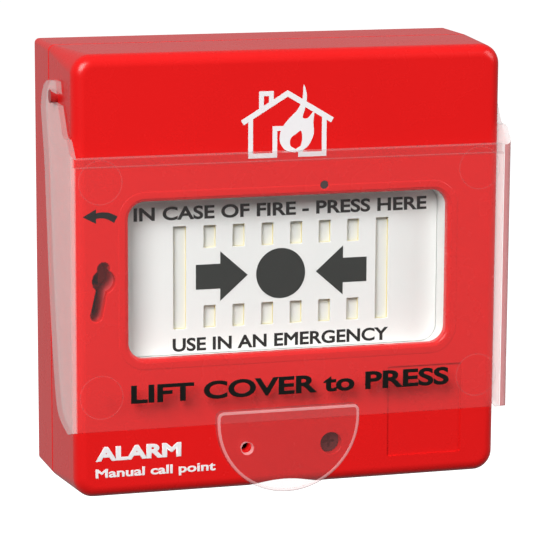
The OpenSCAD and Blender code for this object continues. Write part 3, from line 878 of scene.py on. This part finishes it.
def lettering(name, words, left, base, right, height, y, body, material, weight=0.0, gap=1.0):
    """Generic wording: built-in letters fitted between left and right, height is of a capital."""
    data = bpy.data.curves.new(name, "FONT")
    data.body = words
    data.size = 1.0
    data.bevel_depth = weight
    data.bevel_resolution = 1
    data.extrude = 0.01
    data.space_character = gap
    data.resolution_u = 5
    obj = bpy.data.objects.new(name, data)
    SCENE.collection.objects.link(obj)
    depsgraph = bpy.context.evaluated_depsgraph_get()
    flat = bpy.data.meshes.new_from_object(obj.evaluated_get(depsgraph))
    bpy.data.objects.remove(obj)
    xs = [v.co.x for v in flat.vertices]
    deep = 0.04 / (0.01 + weight)
    wide = (right - left) / (max(xs) - min(xs))
    tall = height / (0.729 + 2 * weight)
    start = min(xs)
    bm = bmesh.new()
    bm.from_mesh(flat)
    bpy.data.meshes.remove(flat)
    for v in bm.verts:
        x, up, out = v.co
        v.co = Vector((left + (x - start) * wide, y - out * deep, base + (up + weight) * tall)) * MM
    bmesh.ops.remove_doubles(bm, verts=bm.verts, dist=0.001 * MM)
    return piece(new_object(name, bm), body, material)


def thin_print(name, bm, body, material):
    """Gives flat artwork a printed film's thickness, towards the viewer."""
    bmesh.ops.remove_doubles(bm, verts=bm.verts, dist=0.005 * MM)
    bmesh.ops.recalc_face_normals(bm, faces=bm.faces[:])
    for face in bm.faces:
        if face.normal.y > 0:
            face.normal_flip()
    grown = bmesh.ops.extrude_face_region(bm, geom=bm.faces[:])
    for v in (g for g in grown["geom"] if isinstance(g, bmesh.types.BMVert)):
        v.co.y -= 0.04 * MM
    obj = new_object(name, bm)
    return piece(obj, body, material)


def artwork(name, outlines, y, body, material):
    """Printed shapes from closed outlines, lying on the face at y."""
    bm = bmesh.new()
    for outline in outlines:
        bm.faces.new([bm.verts.new(Vector((x, y, z)) * MM) for x, z in outline])
    return thin_print(name, bm, body, material)


def arrow_outline(side):
    """A block arrow that points at the dot; side is -1 on the left and 1 on the right."""
    tail, neck, tip = 21.3, 15.3, 8.5
    points = [(tail, 3.0), (neck, 3.0), (neck, 6.0), (tip, 0), (neck, -6.0), (neck, -3.0), (tail, -3.0)]
    return [(side * x, PRINT_Z + z) for x, z in points]


def strip(points, widths):
    """An outline along a line of points, with a width at each."""
    left, right = [], []
    for i, point in enumerate(points):
        p = Vector(point)
        ahead = (Vector(points[min(i + 1, len(points) - 1)]) - Vector(points[max(i - 1, 0)])).normalized()
        side = Vector((-ahead.y, ahead.x)) * widths[i] / 2
        left.append(tuple(p + side))
        right.append(tuple(p - side))
    return left + right[::-1]


def turn_arrow():
    """The dark arrow over the key hole, which curves to the left."""
    bend = smooth_curve([(-47.2, 15.05), (-45.9, 15.25), (-44.2, 15.0), (-42.4, 14.1)], 4)
    widths = [1.25 + 0.45 * k / (len(bend) - 1) for k in range(len(bend))]
    head = [(-50.2, 14.95), (-47.1, 16.7), (-47.1, 13.3)]
    return artwork("turn_arrow", [strip(bend, widths), head], FACE_Y - 0.01, "root", "print_black")


def stroke(points, width):
    """A line of even width through the points, with mitred bends."""
    left, right = [], []
    last = len(points) - 1
    for i, point in enumerate(points):
        p = Vector(point)
        before = (p - Vector(points[max(i - 1, 0)])).normalized()
        after = (Vector(points[min(i + 1, last)]) - p).normalized()
        before = before if i > 0 else after
        after = after if i < last else before
        along = (before + after).normalized()
        side = Vector((-along.y, along.x)) * width / 2 / max(0.3, along.dot(before))
        left.append(tuple(p + side))
        right.append(tuple(p - side))
    return left + right[::-1]


def flame_sign():
    """A generic burning-house sign: roof, chimney, walls and door, with a flame in front."""
    low, high = FACE_Y - 0.05, FACE_Y - 0.01
    base, line = 27.7, 1.15
    eaves, ridge = 35.6, 42.2
    centre = -1.0

    def house_line(points, width=line):
        """A line drawn at offsets from the house's middle."""
        return stroke([(centre + x, z) for x, z in points], width)

    roof = house_line([(-11.0, eaves), (0, ridge), (11.0, eaves)], 1.3)
    left_wall = house_line([(-9.0, 36.6), (-9.0, base), (-3.1, base), (-3.1, 34.0), (-0.4, 34.0)])
    right_wall = house_line([(9.0, 36.6), (9.0, base), (3.2, base), (3.2, 31.0)])
    chimney = house_line([(-6.4, 38.6), (-6.4, 42.3), (-4.0, 42.3), (-4.0, 40.2)])
    outer = smooth_curve(
        [
            (0.6, 28.2), (-1.6, 28.9), (-2.9, 31.0), (-2.5, 33.8), (-0.7, 36.2), (1.4, 38.3),
            (2.6, 40.8), (2.9, 44.2), (3.7, 41.4), (3.2, 38.4), (2.7, 36.4), (4.0, 36.3),
            (5.5, 37.9), (5.3, 35.2), (5.4, 32.4), (4.2, 29.8), (2.4, 28.5),
        ],
        4,
    )
    inner = smooth_curve(
        [(1.0, 29.0), (-0.3, 29.9), (-0.2, 31.6), (1.1, 32.6), (2.3, 33.3), (2.6, 31.4), (2.2, 29.7)], 4
    )
    sign = prism_y("flame_sign", [roof], low, high)
    join(sign, *[prism_y("part", [part], low, high) for part in (left_wall, right_wall, chimney, outer)])
    cut(sign, prism_y("heart", [inner], low - 1, high + 1))
    soften(sign, angle=40)
    piece(sign, "root", "print_white")


# ---------------------------------------------------------------- build

front_housing()
back_box()
window_tray()
press_plate()
cover_shell()
cover_tab()
mould_rings()

PRINT_Y = PLATE_Y - 0.01
artwork("press_dot", [circle(-0.3, PRINT_Z, 6.1, 72)], PRINT_Y, "press", "print_charcoal")
artwork("press_arrows", [arrow_outline(-1), arrow_outline(1)], PRINT_Y, "press", "print_charcoal")
for name, words, half, base in (
    ("words_top", "IN CASE OF FIRE - PRESS HERE", 36.4, 12.1),
    ("words_low", "USE IN AN EMERGENCY", 27.0, -19.7),
):
    lettering(name, words, -half, base, half, 3.4, PRINT_Y, "press", "print_black", 0.028)
cover_print_y, body_print_y = PANEL_FRONT - 0.01, FACE_Y - 0.01
lettering(
    "words_cover", "LIFT COVER to PRESS", -40.0, -28.9, 38.6, 4.6, cover_print_y,
    "cover", "print_black", 0.034,
)
for name, words, base, right, height, weight in (
    ("words_body", "ALARM", -43.4, -26.8, 3.7, 0.05),
    ("words_type", "Manual call point", -47.4, -18.4, 2.3, 0.03),
):
    lettering(name, words, -47.6, base, right, height, body_print_y, "root", "print_white", weight)
turn_arrow()
flame_sign()

CAD_FINISHES = {
    # the key parts' paler red is painted light in the deep key hole
    "key_guide": "key_red_painted_light",
    "key_barrel": "key_red_painted_light",
    # the studs' darker red is painted shade
    "hinge_studs": "stud_red_painted_shade",
    "housing_screw": "screw_painted",
    "indicator_slide": "yellow_plastic",
}
for subpart in frame["record"]["subparts"]:
    node = subpart["node"]
    paint(NODES[node], CAD_FINISHES.get(node, subpart["material_slot"]))
